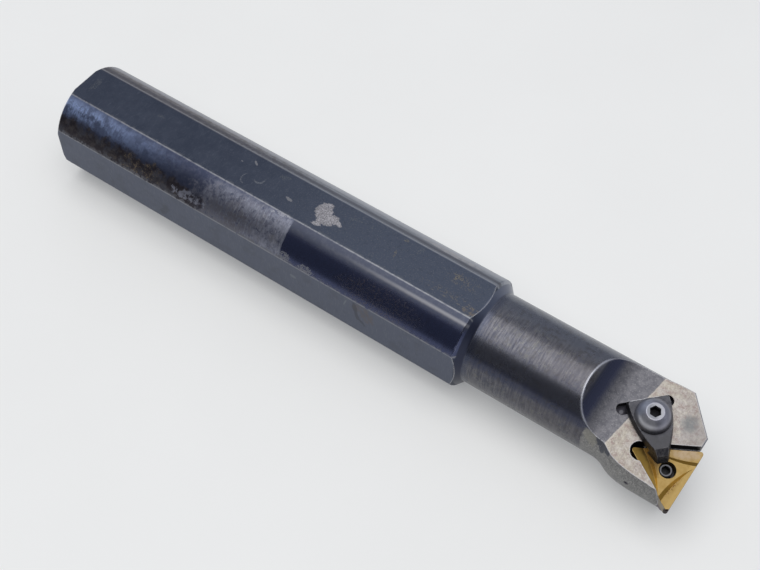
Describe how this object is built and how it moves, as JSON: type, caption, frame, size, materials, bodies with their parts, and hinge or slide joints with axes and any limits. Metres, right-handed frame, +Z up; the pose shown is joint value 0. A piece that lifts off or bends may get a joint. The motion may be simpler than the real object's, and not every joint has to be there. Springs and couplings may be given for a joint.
{
  "type": "boring bar",
  "caption": "Round boring bar with clamping flats, a slimmer neck and an offset head that holds a triangular indexable insert on a shim, under a screwed top clamp.",
  "frame": {"origin": "centre of the shank's flat rear end, on the shank's axis", "axes": "+X along the bar from the rear end to the head, +Z up and square to the top flat, the cutting tip stands out towards -Y at the height of the axis"},
  "size_m": [0.2444, 0.0386, 0.035],
  "materials": {
    "blackened_steel": "worn black oxide",
    "gold_coated_carbide": "gold coating, ground grooves",
    "bare_carbide": "ground",
    "dark_pin_steel": "black oxide",
    "dark_clamp_steel": "satin black oxide",
    "dark_screw_steel": "satin black oxide"
  },
  "bodies": {
    "bar": {"bar_body": "blackened_steel", "shim": "bare_carbide", "insert": "gold_coated_carbide"},
    "clamp": {"clamp": "dark_clamp_steel"},
    "clamp_screw": {"clamp_screw": "dark_screw_steel"},
    "lock_pin": {"lock_pin": "dark_pin_steel"}
  },
  "joints": [
    {"name": "clamp_lift", "type": "slide", "parent": "bar", "child": "clamp", "axis": [0.0854, -0.1994, 0.9762], "range_m": [0, 0.003]},
    {"name": "clamp_screw_turn", "type": "hinge", "parent": "clamp", "child": "clamp_screw", "pos_m": [0.22696, -0.00179, 0.01029], "axis": [0.0854, -0.1994, 0.9762], "range_deg": [0, 1200]},
    {"name": "lock_pin_turn", "type": "hinge", "parent": "bar", "child": "lock_pin", "pos_m": [0.23755, -0.01, -0.00201], "axis": [0.0854, -0.1994, 0.9762], "range_deg": [0, 180]}
  ],
  "couplings": [
    {"joint": "clamp_screw_turn", "follows": "clamp_lift", "rad_per_m": 6926.3}
  ]
}
